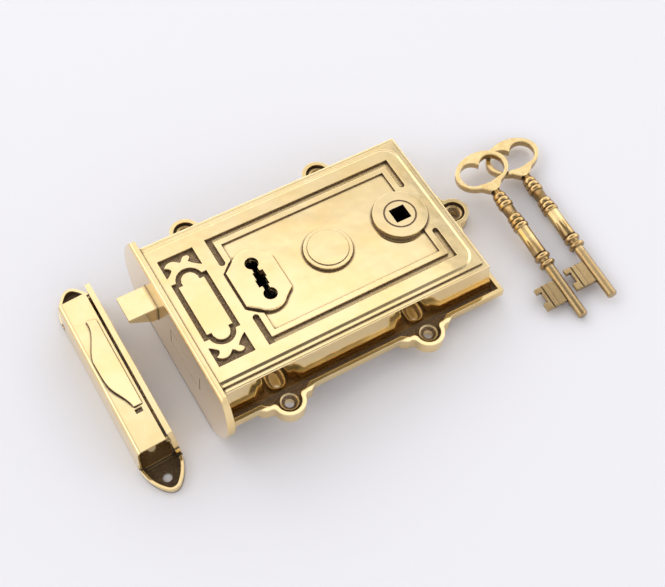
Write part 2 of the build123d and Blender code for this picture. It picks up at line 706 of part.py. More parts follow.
def latch_bolt():
    """Bevelled latch head with a tail that ends in a yoke round the follower."""
    z0, z1 = tail_layer()
    tip = forend_front((BOLT_BOTTOM + BOLT_TOP) / 2) - LATCH_REACH
    root = tip + LATCH_REACH - LATCH_SHOULDER
    side = Polyline(
        (tip, BOLT_TOP),
        (LATCH_HEAD_BACK, BOLT_TOP),
        (LATCH_HEAD_BACK, BOLT_BOTTOM),
        (root, BOLT_BOTTOM),
        (tip, BOLT_TOP - LATCH_TIP_THICKNESS),
        close=True,
    )
    head = along_y(make_face(side), LATCH_Y0, LATCH_Y1)
    yoke_x1 = HORN_HALF + SLIDING + YOKE_BAR
    yoke_x0 = -horn_swing() - LATCH_TRAVEL - 2 * APART - YOKE_BAR
    yoke = rect(yoke_x0, yoke_x1, -YOKE_HALF - YOKE_BAR, YOKE_HALF + YOKE_BAR)
    window = rect(yoke_x0 + YOKE_BAR, yoke_x1 - YOKE_BAR, -YOKE_HALF, YOKE_HALF)
    hub_way = FOLLOWER_RADIUS + HUB_CLEARANCE
    window += rect(yoke_x1 - YOKE_BAR - 1, yoke_x1 + 1, -hub_way, hub_way)
    tail = rect(LATCH_HEAD_BACK - 1, yoke_x0 + 1, TAIL_Y0, TAIL_Y1)
    yoke = yoke + tail - window
    slot_y = (TAIL_Y0 + TAIL_Y1) / 2
    half = POST_RADIUS + APART
    g = POST_RADIUS + SLIDING
    slot = rect(LATCH_POST_X - LATCH_TRAVEL - half, LATCH_POST_X + half, slot_y - g, slot_y + g)
    lug = rect(LATCH_LUG_X - LATCH_LUG_THICKNESS, LATCH_LUG_X, TAIL_Y1 - 1, LATCH_LUG_Y)
    return head + prism(yoke - slot + lug, z0, z1)


def latch_guide_post():
    """Square stud that the latch tail slides along."""
    y = (TAIL_Y0 + TAIL_Y1) / 2
    r = POST_RADIUS
    return slab(LATCH_POST_X - r, LATCH_POST_X + r, y - r, y + r, PLATE_THICKNESS, CAVITY_TOP)


def key_pivot():
    return KEYHOLE_X, -KEYHOLE_END


def deadbolt():
    """Flush deadbolt with a notched tail that the key moves."""
    z0, z1 = tail_layer()
    front = make_face(
        Polyline(
            (forend_front(BOLT_BOTTOM), BOLT_BOTTOM),
            (forend_front(BOLT_TOP), BOLT_TOP),
            (DEAD_HEAD_BACK, BOLT_TOP),
            (DEAD_HEAD_BACK, BOLT_BOTTOM),
            close=True,
        )
    )
    head = along_y(front, DEAD_Y0, DEAD_Y1)
    tail = rect(DEAD_TAIL_STEP_X, DEAD_TAIL_END, DEAD_TAIL_Y0, DEAD_TAIL_Y1)
    tail += rect(DEAD_HEAD_BACK - 1, DEAD_TAIL_STEP_X + 1, DEAD_Y0, DEAD_TAIL_Y1)
    px, py = key_pivot()
    talon_x = px + DEAD_THROW / 2
    deep = py - BIT_REACH - TALON_DEPTH_MARGIN
    half_low = BIT_THICKNESS / 2 + APART
    talon = polygon(
        [
            (talon_x - half_low, deep),
            (talon_x + half_low, deep),
            (talon_x + half_low + TALON_FLARE, DEAD_TAIL_Y1 + 1),
            (talon_x - half_low - TALON_FLARE, DEAD_TAIL_Y1 + 1),
        ]
    )
    g = POST_RADIUS + SLIDING
    half = POST_RADIUS + APART
    back = LEVER_PIVOT_X + DEAD_THROW + half
    slot = rect(LEVER_PIVOT_X - half, back, LEVER_PIVOT_Y - g, LEVER_PIVOT_Y + g)
    return head + prism(tail - talon - slot, z0, z1)


def bolt_stump():
    """Square stump riveted through the bolt tail; it passes the levers' gates."""
    z1 = BOLT_TOP + lever_stack_height()
    half = STUMP_SIZE / 2
    x0, x1 = STUMP_X - half, STUMP_X + half
    return slab(x0, x1, STUMP_Y - half, STUMP_Y + half, BOLT_TOP, z1)


def lever_stack_height():
    return LEVER_COUNT * (LEVER_THICKNESS + LEVER_GAP) + LEVER_GAP


def lever_pivot_post():
    return rod(LEVER_PIVOT_X, LEVER_PIVOT_Y, POST_RADIUS, PLATE_THICKNESS, CAVITY_TOP)


def lever_floor(index):
    """Underside of a lever in the stack."""
    return BOLT_TOP + LEVER_GAP + index * (LEVER_THICKNESS + LEVER_GAP)


def lever(index):
    """Pivoted lever drawn at gate level, with two pockets, a gate and a belly."""
    px, py = key_pivot()
    half = STUMP_SIZE / 2
    left = STUMP_X - DEAD_THROW - LEVER_END
    right = LEVER_PIVOT_X + POST_RADIUS + LEVER_ARM
    body = rect(left, right, STUMP_Y - LEVER_BACK, STUMP_Y + LEVER_BELLY)
    body -= disc(px, py, BIT_REACH - LEVER_LIFT - LEVER_LIFT_STEP * index)
    swing = math.radians(LEVER_DROP) * (LEVER_PIVOT_X - STUMP_X + DEAD_THROW)
    g = APART
    gate = rect(STUMP_X - DEAD_THROW, STUMP_X, STUMP_Y - half - g, STUMP_Y + half + g)
    for x in (STUMP_X, STUMP_X - DEAD_THROW):
        reach = half + g + swing
        gate += rect(x - half - g, x + half + g, STUMP_Y - reach, STUMP_Y + reach)
    body -= gate
    body -= disc(LEVER_PIVOT_X, LEVER_PIVOT_Y, POST_RADIUS + RUNNING)
    z0 = lever_floor(index)
    return prism(body, z0, z0 + LEVER_THICKNESS)


def lever_spring(index):
    """Flat strip on the lever's back whose free end bears on the wall of the case."""
    z0 = lever_floor(index)
    back = STUMP_Y - LEVER_BACK - SPRING_STRIP / 2
    wall = -(LEDGE_HALF - WALL_THICKNESS) + SPRING_STRIP / 2 + SLIDING
    root = (STUMP_X + LEVER_SPRING_ROOT, back)
    bend = (STUMP_X, back)
    tip = (STUMP_X - LEVER_SPRING_REACH, wall)
    shape = strip(root, bend) + strip(bend, tip)
    return prism(shape, z0 + SLIDING, z0 + LEVER_THICKNESS - SLIDING)


def strip(a, b):
    """Straight piece of spring strip between two points."""
    a, b = Vector(*a), Vector(*b)
    side = (b - a).normalized().rotate(Axis.Z, 90) * (SPRING_STRIP / 2)
    return polygon([a + side, b + side, b - side, a - side])


def latch_spring():
    """Hairpin spring: an eye on its post, a leg on the wall and a blade on the latch's lug."""
    z0, z1 = tail_layer()
    x, y = SPRING_POST
    inner = SPRING_POST_RADIUS + RUNNING
    middle = inner + SPRING_STRIP / 2
    eye = disc(x, y, inner + SPRING_STRIP) - disc(x, y, inner)
    wall = LEDGE_HALF - WALL_THICKNESS - SPRING_STRIP / 2 - SLIDING
    bend, end = ((x + out, wall) for out in SPRING_LEG)
    eye += strip((x, y + middle), bend) + strip(bend, end)
    tip = (LATCH_LUG_X + SPRING_STRIP / 2 + SLIDING, LATCH_LUG_Y - SPRING_CONTACT_IN)
    eye += strip((x, y - middle), tip)
    return prism(eye, z0 + SLIDING, z1 - SLIDING)


def latch_spring_post():
    x, y = SPRING_POST
    return rod(x, y, SPRING_POST_RADIUS, PLATE_THICKNESS, CAVITY_TOP)


def on_table(shape):
    """Moves what is drawn on a flat table to the tilted table of the set."""
    return TABLE.location * shape


def keep_lug_outline(end_y, sign):
    """Arched lug beyond one end of the keep's box."""
    half = (KEEP_EDGE_X1 - KEEP_FOOT_X) / 2
    middle = (KEEP_EDGE_X1 + KEEP_FOOT_X) / 2
    side_x, side_y = KEEP_LUG_SIDE
    end_x, out = KEEP_LUG_END
    line = (
        Polyline((half, 0), (half, -KEEP_WALL), (-half, -KEEP_WALL), (-half, 0))
        + ThreePointArc((-half, 0), (-side_x, side_y), (-end_x, out))
        + ThreePointArc((-end_x, out), (0, KEEP_LUG_REACH), (end_x, out))
        + ThreePointArc((end_x, out), (side_x, side_y), (half, 0))
    )
    face = make_face(line)
    if sign < 0:
        face = mirror_y(face)
    return Pos(middle, end_y) * face


def keep_section(inset):
    """Section of the keep's box in X and height, drawn in by an inset."""
    top = KEEP_HEIGHT - inset
    return polygon([(KEEP_FOOT_X + inset, 0), (KEEP_X1, 0), (KEEP_X1, top), (KEEP_X0 + inset, top)])


def keep_body():
    """Box keep: cover with a rounded long edge, end walls and two screw lugs."""
    section = keep_section(0)
    edge = section.vertices().sort_by_distance((KEEP_X0, KEEP_HEIGHT))[0]
    body = along_y(fillet(edge, KEEP_ROUND), KEEP_Y0, KEEP_Y1)
    t = KEEP_WALL
    body -= along_y(keep_section(t), KEEP_Y0 + t, KEEP_Y1 - t)
    for y0, y1 in ((KEEP_Y0, KEEP_Y0 + t), (KEEP_Y1 - t, KEEP_Y1)):
        body += slab(KEEP_X1 - 1, KEEP_EDGE_X0, y0, y1, 0, KEEP_HEIGHT - t)
    for end_y, sign in ((KEEP_Y0, -1), (KEEP_Y1, 1)):
        outline = keep_lug_outline(end_y, sign)
        body += prism(outline, 0, KEEP_LUG_RIM)
        pocket = prism(offset(outline, -KEEP_LUG_RIM_WIDTH), KEEP_LUG_FLOOR, KEEP_HEIGHT)
        low, high = sorted((end_y, end_y + sign * 2 * KEEP_LUG_REACH))
        body -= pocket & slab(KEEP_FOOT_X, KEEP_EDGE_X1, low, high, 0, KEEP_HEIGHT)
        hole_y = end_y + sign * KEEP_HOLE_OUT
        body -= rod(KEEP_HOLE_X, hole_y, SCREW_HOLE_RADIUS, -1, KEEP_LUG_RIM)
    body -= slab(*LEAF_SLOT, KEEP_HEIGHT - t - 1, KEEP_HEIGHT + 1)
    spread = KEEP_EDGE_SPREAD + 1
    y0, y1 = KEEP_EDGE_Y0 - spread, KEEP_EDGE_Y1 + spread
    body -= slab(KEEP_EDGE_X0, KEEP_EDGE_X1 + 1, y0, y1, -1, KEEP_HEIGHT + 1)
    return on_table(body)


def keep_edge_plate():
    """Standing plate with the mouths for the two bolts."""
    top = KEEP_EDGE_TOP
    y0, y1 = KEEP_EDGE_Y0 - KEEP_EDGE_SPREAD, KEEP_EDGE_Y1
    side = polygon(
        [(y0, 0), (y1, 0), (y1, top), (KEEP_EDGE_Y0, top), (y0, KEEP_LUG_RIM)]
    )
    for bolt_y0, bolt_y1 in ((LATCH_Y0, LATCH_Y1), (DEAD_Y0, DEAD_Y1)):
        g = KEEP_MOUTH_GAP
        low, high = KEEP_AXIS_Y + bolt_y0 - g, KEEP_AXIS_Y + bolt_y1 + g
        side -= rect(low, high, BOLT_BOTTOM - g, BOLT_TOP + g)
    return on_table(along_x(side, KEEP_EDGE_X0, KEEP_EDGE_X1))


def keep_leaf():
    """Curved leaf on the keep's cover that guides the latch bolt."""
    back = Polyline(LEAF_HEAD, (LEAF_BACK_X, LEAF_BACK_Y), (LEAF_BACK_X, LEAF_TIP[1]), LEAF_TIP)
    lower = Spline(LEAF_TIP, *LEAF_LOWER, LEAF_BELLY)
    upper = Spline(LEAF_BELLY, *LEAF_UPPER, LEAF_HEAD)
    base = KEEP_HEIGHT
    crest = base + LEAF_RISE
    leaf = prism(make_face(back + lower + upper), base, crest)
    wedge = polygon(
        [
            (KEEP_X0, crest),
            (LEAF_CREST_X, crest),
            (KEEP_X1, base + LEAF_THIN),
            (KEEP_X1, crest + 1),
            (KEEP_X0, crest + 1),
        ]
    )
    return on_table(leaf - along_y(wedge, KEEP_Y0, KEEP_Y1))


def key_stem():
    """Turned stem: tip, collars, barrel, ring groups and neck as a stack of many-sided frusta."""
    shank = KEY_SHANK_RADIUS
    stations = [(0, shank - KEY_TIP_BEVEL), (KEY_TIP_BEVEL, shank)]
    for y, half in COLLARS:
        crest = half * COLLAR_CREST
        stations += [(y - half, shank), (y - crest, KEY_RING_RADIUS)]
        stations += [(y + crest, KEY_RING_RADIUS), (y + half, shank)]
    stations.append((stations[-1][0] + KEY_TIP_BEVEL, KEY_BARREL_RADIUS))
    for index, first in enumerate(RING_GROUPS):
        for i in range(RING_COUNT):
            y = first + i * RING_PITCH
            crest = KEY_RING_RADIUS - (i + index) * RING_TAPER
            valley = RING_VALLEY if i else KEY_BARREL_RADIUS - index * RING_TAPER
            half = RING_CREST * RING_PITCH / 2
            stations += [(y - RING_PITCH / 2, valley), (y - half, crest), (y + half, crest)]
        stations.append((first + (RING_COUNT - 0.5) * RING_PITCH, shank + KEY_NECK_STEP))
    foot = KEY_BOW_CENTRE + BOW_WEDGE_FOOT
    stations.append((foot + BOW_OVERLAP, BOW_THICKNESS / 2))
    stem = None
    for (y0, r0), (y1, r1) in zip(stations, stations[1:]):
        piece = along_y_taper(r0, r1, y0, y1)
        stem = piece if stem is None else stem + piece
    return stem


def along_y_taper(r0, r1, y0, y1):
    """Many-sided frustum along Y whose corners lie on the two radii, closed from flat faces."""
    def ring(r, y):
        turns = [2 * math.pi * i / KEY_SIDES for i in range(KEY_SIDES)]
        return [Vector(r * math.cos(a), y, r * math.sin(a)) for a in turns]

    low, high = ring(r0, y0), ring(r1, y1)
    after = [(i + 1) % KEY_SIDES for i in range(KEY_SIDES)]
    sides = [polygon([low[i], low[j], high[j], high[i]]) for i, j in enumerate(after)]
    return Solid(Shell([one.face() for one in sides + [polygon(low), polygon(high)]]))


def key_bow():
    """Flat bow: an oval with a two-lobed opening and a wedge that runs into the stem."""
    opening = ellipse_at(0, BOW_NOTCH_Y, BOW_NOTCH_HALF, BOW_NOTCH_HEIGHT)
    for side in (1, -1):
        opening += ellipse_at(side * BOW_LOBE_X, BOW_LOBE_Y, BOW_LOBE_HALF, BOW_LOBE_HEIGHT)
    wide, narrow = BOW_WEDGE
    wedge = polygon(
        [
            (-wide, BOW_WEDGE_TOP),
            (-narrow, BOW_WEDGE_FOOT),
            (narrow, BOW_WEDGE_FOOT),
            (wide, BOW_WEDGE_TOP),
        ]
    )
    face = ellipse_at(0, 0, BOW_HALF_WIDTH, BOW_HALF_HEIGHT) + wedge - opening
    return Pos(0, KEY_BOW_CENTRE) * prism(face, -BOW_THICKNESS / 2, BOW_THICKNESS / 2)


def key():
    """Key lying flat along Y with its tip at the origin and its bit towards -X."""
    return key_stem() + key_bow() + key_bit()


def ellipse_at(x, y, rx, ry):
    return Pos(x, y) * Ellipse(rx, ry)


def key_bit():
    """Bit with a thin web, a ridge along the shank and a notched outer edge."""
    y0, y1 = BIT_TIP, BIT_TIP + BIT_LENGTH
    half = BIT_THICKNESS / 2
    thin = half - BIT_WEB_SINK
    bit = slab(-BIT_REACH, 0, y0, y1, -thin, thin)
    for x0, x1 in (BIT_EDGE, BIT_RIDGE):
        bit += slab(-BIT_REACH + x0, -BIT_REACH + x1, y0, y1, -half, half)
    n0, n1 = BIT_NOTCH
    return bit - slab(-BIT_REACH - 1, -BIT_REACH + BIT_NOTCH_DEPTH, n0, n1, -half - 1, half + 1)


def key_rear():
    x, y = KEY_REAR_TIP
    return on_table(Pos(x, y, KEY_RING_RADIUS) * Rot(0, 0, KEY_REAR_HEADING) * key())


def key_front():
    x, y = KEY_FRONT_TIP
    turn = Rot(0, 0, KEY_FRONT_HEADING) * Rot(KEY_FRONT_LEAN, 0, 0)
    return on_table(Pos(x, y, KEY_SHANK_RADIUS) * turn * key())


def write(name, shape):
    """Writes one node."""
    if isinstance(shape, list):
        shape = Compound(children=shape)
    shape.label = name
    export_step(shape, f"parts/{name}.step")


def main():
    os.makedirs("parts", exist_ok=True)
    write("front_case", front_case())
    write("forend", forend())
    write("back_plate", back_plate())
    write("back_plate_screws", back_plate_screws())
    write("keyhole_escutcheon", keyhole_escutcheon())
    write("roundel", roundel())
    write("follower", follower())
    write("latch_bolt", latch_bolt())
    write("latch_guide_post", latch_guide_post())
    write("deadbolt", deadbolt())
    write("bolt_stump", bolt_stump())
    write("lever_pivot_post", lever_pivot_post())
    for index in range(LEVER_COUNT):
        write(f"lever_{index + 1}", lever(index))
        write(f"lever_spring_{index + 1}", lever_spring(index))
    write("latch_spring", latch_spring())
    write("latch_spring_post", latch_spring_post())
    write("keep_body", keep_body())
    write("keep_edge_plate", keep_edge_plate())
    write("keep_leaf", keep_leaf())
    write("key_rear", key_rear())
    write("key_front", key_front())


main()
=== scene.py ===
import math

import bmesh
import bpy
from mathutils import Euler, Matrix, Vector


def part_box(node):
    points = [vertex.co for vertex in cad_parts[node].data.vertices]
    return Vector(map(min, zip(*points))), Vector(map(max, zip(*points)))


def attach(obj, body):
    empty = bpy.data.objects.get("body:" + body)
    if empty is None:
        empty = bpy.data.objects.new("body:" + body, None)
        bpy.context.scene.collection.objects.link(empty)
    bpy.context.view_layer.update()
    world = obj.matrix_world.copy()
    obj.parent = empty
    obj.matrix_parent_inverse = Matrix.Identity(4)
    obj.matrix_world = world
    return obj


# Rim lock with its keep and keys on a pale table. Objects are in metres, in the lock's frame.
# Sizes on the lock, the keep and the keys are in millimetres, and MM turns them into metres.
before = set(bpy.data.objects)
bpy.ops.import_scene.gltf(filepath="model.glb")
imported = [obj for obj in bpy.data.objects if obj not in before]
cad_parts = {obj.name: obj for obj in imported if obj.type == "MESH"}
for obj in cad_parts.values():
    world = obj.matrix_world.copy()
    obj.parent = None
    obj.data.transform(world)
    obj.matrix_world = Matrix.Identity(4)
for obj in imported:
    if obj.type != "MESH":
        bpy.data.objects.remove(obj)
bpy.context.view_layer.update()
MM = 0.001

# Camera of the photograph, fitted to the lock plate's corners
CAMERA_PLACE = Vector((-0.22014, -0.28370, 0.51856))
CAMERA_TURN = Euler((0.56088, -0.03181, -0.52392), "XYZ")
CAMERA_LENS = 67.18
CAMERA_SENSOR = 36.0
CAMERA_NEAR = 0.01

# Table under the lip of the forend and the end lug, sloped because the lock leans on them
TABLE_SLOPE = 0.10020
TABLE_SIZE = 6.0
TABLE_GAP = 0.02 * MM
TABLE_ROUGH = 0.7
TABLE_GLOSS = 0.2

# Room's light by the height of its direction: a belt that rises and falls, and a ceiling above
BELT_RISE = (0.12, 0.40)
BELT_LEVELS = (0.15, 1.40)
BELT_FALL = (0.55, 0.79)
CEILING_RISE = (0.785, 0.855)
CEILING_LEVELS = (0.63, 1.06)

# Share of the ceiling's light that is left towards the camera
SHADE_SPREAD = (0.45, 0.85)
SHADE_LEVELS = (1.0, 0.15)

# Broad soft lamp on the far side
WINDOW_PLACE = Vector((-0.15, 0.95, 1.05))
WINDOW_AIM = Vector((-0.05, 0, 0))
WINDOW_SIZE = 1.5
WINDOW_WATTS = 2.2

# Masks change from 0 to 1 over a blur. A face counts as level where its normal points up by more
# than LEVEL, and as upright where it points up or down by less than UPRIGHT.
BLUR = 0.1
WIDE_BLUR = 0.2
LEVEL = 0.5
UPRIGHT = (0.3, 0.5)

# Heights and edges on the front case
CHANNEL_TOP = 4.6
BOSS_TOP = 5.35
FLANGE_BACK = 1.0
WALL_FOOT = (4.2, 5.4)
RIM_INNER_HALF = 48.2
RIM_INNER_END = 26.6
GROOVE_FLOORS = (23.2, 23.6)
PANEL_HALF = 33.5
PANEL_END = 13.0
CARTOUCHE_END = -87.0

# Shares of patina on the case, full on the channel floor; at the feet of the walls also a painted dark
# reflection of the channel
BOSS_PATINA = 0.5
FOOT_PATINA_AND_REFLECTION = 0.8
GROOVE_PATINA = 0.35
CARTOUCHE_PATINA = 0.9

# Follower's hub: the gap round it, and its square hole
HUB_RADIUS = 7.85
HUB_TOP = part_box("follower")[1].z / MM
GAP_REACH = 0.4
GAP_DEPTH = 1.6
SQUARE_HALF = 4.1

# Forend: height at which its polished rim begins, how squarely its duller face looks outwards, and the
# share of the pale reflection painted on that face
FOREND_RIM = (22.5, 24.5)
FOREND_FACING = (-0.95, -0.85)
FOREND_REFLECTION_SHARE = 0.85

# Keep: heights over the table's line through the frame's origin, and the ends of its box
KEEP_FLOOR = -2.6
KEEP_COVER = 15.5
KEEP_ENDS = (-42.6, 49.6)
FLOOR_BLUR = 0.4
COVER_BLUR = 0.5
END_BLUR = 0.4
END_OUT = 0.1
SLOT_INSET = 1.5
SLOT_BLUR = 1.0

# Patina and painted shade in corners: their reach, the enclosure at which they show, and their share
# where wiped
CORNER_REACH = 2.2
CORNER_SPAN = (0.10, 0.34)
CORNER_SAMPLES = 8
FAINT_CORNER_SHARE = 0.35

# Edges that are rounded by their shading alone
EDGE_SAMPLES = 6
CAST_EDGE = 0.5
BOW_EDGE = 0.9
FINE_EDGE = 0.2

# Noise of the metals: grains to the millimetre, detail and roughness
CLOUD = (0.05, 4.0, 0.6)
FINE = (1.1, 5.0, 0.65)
SPECK = (2.2, 4.0, 0.75)
SWELL = (0.06, 2.0)
KEY_CLOUD = (0.22, 3.0, 0.6)
KEY_FINE = (1.6, 5.0, 0.7)
DRAWN = (2.0, 4.0, 0.6)
DRAWN_STRETCH = (0.05, 1.0, 1.0)

# Spans over which the noises turn into tints, specks, stains and polish
CLOUD_SPAN = (0.35, 0.7)
SPECK_SPAN = (0.40, 0.66)
RAGGED = (0.7, 1.3)
POLISH_SPAN = (0.3, 0.8)
KEY_CLOUD_SPAN = (0.3, 0.7)
STAIN_SPAN = (0.5, 0.8)
STAIN_SHARE = 0.2

# Heights of the relief
PIT_RELIEF = 0.06
SWELL_RELIEF = 0.16
HAIR_RELIEF = 0.002
KEY_SWELL_RELIEF = 0.06
KEY_GRAIN_RELIEF = (0.006, 0.05)
DRAWN_RELIEF = 0.01

# Roughness of the metals, and how metallic the patina is
BRASS_ROUGH = (0.05, 0.13)
FACE_ROUGH = (0.16, 0.26)
WORKS_ROUGH = (0.25, 0.4)
PATINA_ROUGH = 0.45
PATINA_METAL = 0.6
KEY_ROUGH = (0.18, 0.30)
KEY_PATINA_ROUGH = 0.5
STEEL_ROUGH = (0.3, 0.48)

# Keys: painted shade in their hollows and on their upright sides, and the end that goes into the lock,
# browner than the rest
HOLLOW_SHADE_REACH = 1.6
HOLLOW_SHADE_SPAN = (0.07, 0.28)
SHADED_SIDE_SPAN = (0.35, 0.8)
SHADED_SIDE_SHARE = 0.6
WORN_END = (-54.0, -48.0)
WORN_SHARE = (0.4, 1.0)

# Each key's tip on the table and the height of its stem, its heading and its lean in degrees.
# The places start under the end of the lock's rim.
KEY_PLACES = {
    "key_rear": ((45.5, -81.0, 4.2), -2.7, 0.0),
    "key_front": ((27.5, -82.2, 2.6), -1.4, 3.8),
}
RIM_END = 29.7

# Turned stem of a key: radii a little over those of the key itself, which it covers
STEM_SHANK = 2.64
STEM_BARREL = 3.57
STEM_BEAD = 4.28
STEM_VALLEY = 3.24
STEM_VASE = (2.98, 3.36)
STEM_SIDES = 48

# Turned stem of a key: places from its tip, with the half width of a collar or the radius of the
# neck, and how far its two ends sink into the key
COLLARS = ((32.3, 1.15), (36.8, 1.45))
COLLAR_LEAD = 2.0
BARREL_STEP = 0.5
BEAD_GROUPS = (56.7, 71.1)
BEAD_COUNT = 3
BEAD_PITCH = 2.8
BEAD_TAPER = 0.25
BEAD_RISE = 0.5
BEAD_POINTS = 7
VASE_GAP = 0.1
NECK = (80.6, 2.25)
SHANK_SINK = 0.3
NECK_SINK = 1.2

# Colours
GOLD = (0.93, 0.735, 0.41)
GOLD_WARM = (0.91, 0.68, 0.33)
GOLD_PALE = (0.90, 0.77, 0.61)
# Colours of patina, also used for the painted shade in corners, at the feet of the walls and in the
# keep's box
PATINA_AND_SHADE_DARK = (0.040, 0.022, 0.010)
PATINA_AND_SHADE_LIGHT = (0.42, 0.28, 0.16)
PATINA_AND_SHADE_BROWN = (0.13, 0.085, 0.05)
HOLE_SHADE = (0.012, 0.008, 0.005)
WORKS_GOLD = (0.70, 0.50, 0.24)
WORKS_WARM = (0.49, 0.34, 0.155)
KEY_GOLD = (0.84, 0.60, 0.27)
KEY_LIGHT = (0.93, 0.72, 0.36)
KEY_BROWN = (0.34, 0.225, 0.115)
KEY_DARK = (0.07, 0.04, 0.018)
# Stems: a darker copy of the key's brass, painted shade of the round stems
STEM_SHADED_GOLD = (0.56, 0.36, 0.14)
STEM_SHADED_LIGHT = (0.74, 0.52, 0.24)
STEEL_LIGHT = (0.50, 0.50, 0.51)
STEEL_DARK = (0.36, 0.36, 0.38)
TABLE_COLOUR = (0.895, 0.885, 0.915)
ROOM_COLOUR = (0.98, 0.98, 1.0)


class Shader:
    """Node tree of one material, with short calls for the nodes used here."""

    def __init__(self, name):
        self.material = bpy.data.materials.new(name)
        self.material.use_nodes = True
        self.tree = self.material.node_tree
        self.tree.nodes.clear()
        self.surface = self.add("ShaderNodeBsdfPrincipled")
        output = self.add("ShaderNodeOutputMaterial")
        self.link(self.surface.outputs["BSDF"], output.inputs["Surface"])
        coordinates = self.add("ShaderNodeTexCoord")
        scale = self.add("ShaderNodeVectorMath", operation="SCALE")
        self.link(coordinates.outputs["Object"], scale.inputs[0])
        scale.inputs["Scale"].default_value = 1 / MM
        self.place = scale.outputs[0]
        self.x, self.y, self.z = self.split(self.place)
        self.side, _, self.up = self.split(coordinates.outputs["Normal"])

    def add(self, kind, **settings):
        node = self.tree.nodes.new(kind)
        for name, value in settings.items():
            setattr(node, name, value)
        return node

    def link(self, source, target):
        self.tree.links.new(source, target)

    def feed(self, value, target):
        """Links a socket, or sets a plain number or colour."""
        if isinstance(value, bpy.types.NodeSocket):
            self.link(value, target)
        elif isinstance(value, tuple) and len(value) == 3 and target.type == "RGBA":
            target.default_value = (*value, 1)
        else:
            target.default_value = value

    def split(self, vector):
        node = self.add("ShaderNodeSeparateXYZ")
        self.link(vector, node.inputs[0])
        return node.outputs

    def math(self, operation, a, b=0.0):
        node = self.add("ShaderNodeMath", operation=operation)
        self.feed(a, node.inputs[0])
        self.feed(b, node.inputs[1])
        return node.outputs[0]

    def size(self, value):
        """A value without its sign."""
        return self.math("ABSOLUTE", value)

    def times(self, *values):
        """Product of some masks and numbers."""
        result = values[0]
        for value in values[1:]:
            result = self.math("MULTIPLY", result, value)
        return result

    def either(self, *values):
        """The largest of some masks."""
        result = values[0]
        for value in values[1:]:
            result = self.math("MAXIMUM", result, value)
        return result

    def rise(self, value, low, high):
        """0 below low, 1 above high and smooth between."""
        node = self.add("ShaderNodeMapRange", interpolation_type="SMOOTHSTEP")
        self.feed(value, node.inputs["Value"])
        node.inputs["From Min"].default_value = low
        node.inputs["From Max"].default_value = high
        return node.outputs[0]

    def fall(self, value, low, high):
        """1 below low, 0 above high and smooth between."""
        return self.math("SUBTRACT", 1.0, self.rise(value, low, high))

    def above(self, value, limit, blur=BLUR):
        """0 below a limit, 1 past its blur."""
        return self.rise(value, limit, limit + blur)

    def below(self, value, limit, blur=BLUR):
        """1 below a limit, 0 past its blur."""
        return self.fall(value, limit, limit + blur)

    def noise(self, scale, detail, rough=0.5, stretch=None):
        """Noise with about scale grains to the millimetre."""
        source = self.place
        if stretch:
            node = self.add("ShaderNodeVectorMath", operation="MULTIPLY")
            self.link(source, node.inputs[0])
            node.inputs[1].default_value = stretch
            source = node.outputs[0]
        node = self.add("ShaderNodeTexNoise")
        self.link(source, node.inputs["Vector"])
        node.inputs["Scale"].default_value = scale
        node.inputs["Detail"].default_value = detail
        node.inputs["Roughness"].default_value = rough
        return node.outputs[0]

    def mix(self, factor, a, b):
        """Colour a where factor is 0, b where it is 1."""
        node = self.add("ShaderNodeMix", data_type="RGBA")
        self.feed(factor, node.inputs[0])
        self.feed(a, node.inputs[6])
        self.feed(b, node.inputs[7])
        return node.outputs[2]

    def blend(self, factor, a, b):
        """Number a where factor is 0, b where it is 1."""
        node = self.add("ShaderNodeMix", data_type="FLOAT")
        self.feed(factor, node.inputs[0])
        self.feed(a, node.inputs[2])
        self.feed(b, node.inputs[3])
        return node.outputs[0]

    def hidden(self, reach):
        """How enclosed a point is, from 0 open to 1 closed."""
        node = self.add("ShaderNodeAmbientOcclusion", samples=CORNER_SAMPLES)
        node.inputs["Distance"].default_value = reach * MM
        return self.math("SUBTRACT", 1.0, node.outputs["AO"])

    def relief(self, height, edge):
        """Bump of a height in millimetres, over edges rounded by a radius."""
        round_edge = self.add("ShaderNodeBevel", samples=EDGE_SAMPLES)
        round_edge.inputs["Radius"].default_value = edge * MM
        bump = self.add("ShaderNodeBump")
        bump.inputs["Strength"].default_value = 1.0
        bump.inputs["Distance"].default_value = MM
        self.feed(height, bump.inputs["Height"])
        self.link(round_edge.outputs[0], bump.inputs["Normal"])
        self.link(bump.outputs[0], self.surface.inputs["Normal"])

    def set(self, name, value):
        self.feed(value, self.surface.inputs[name])


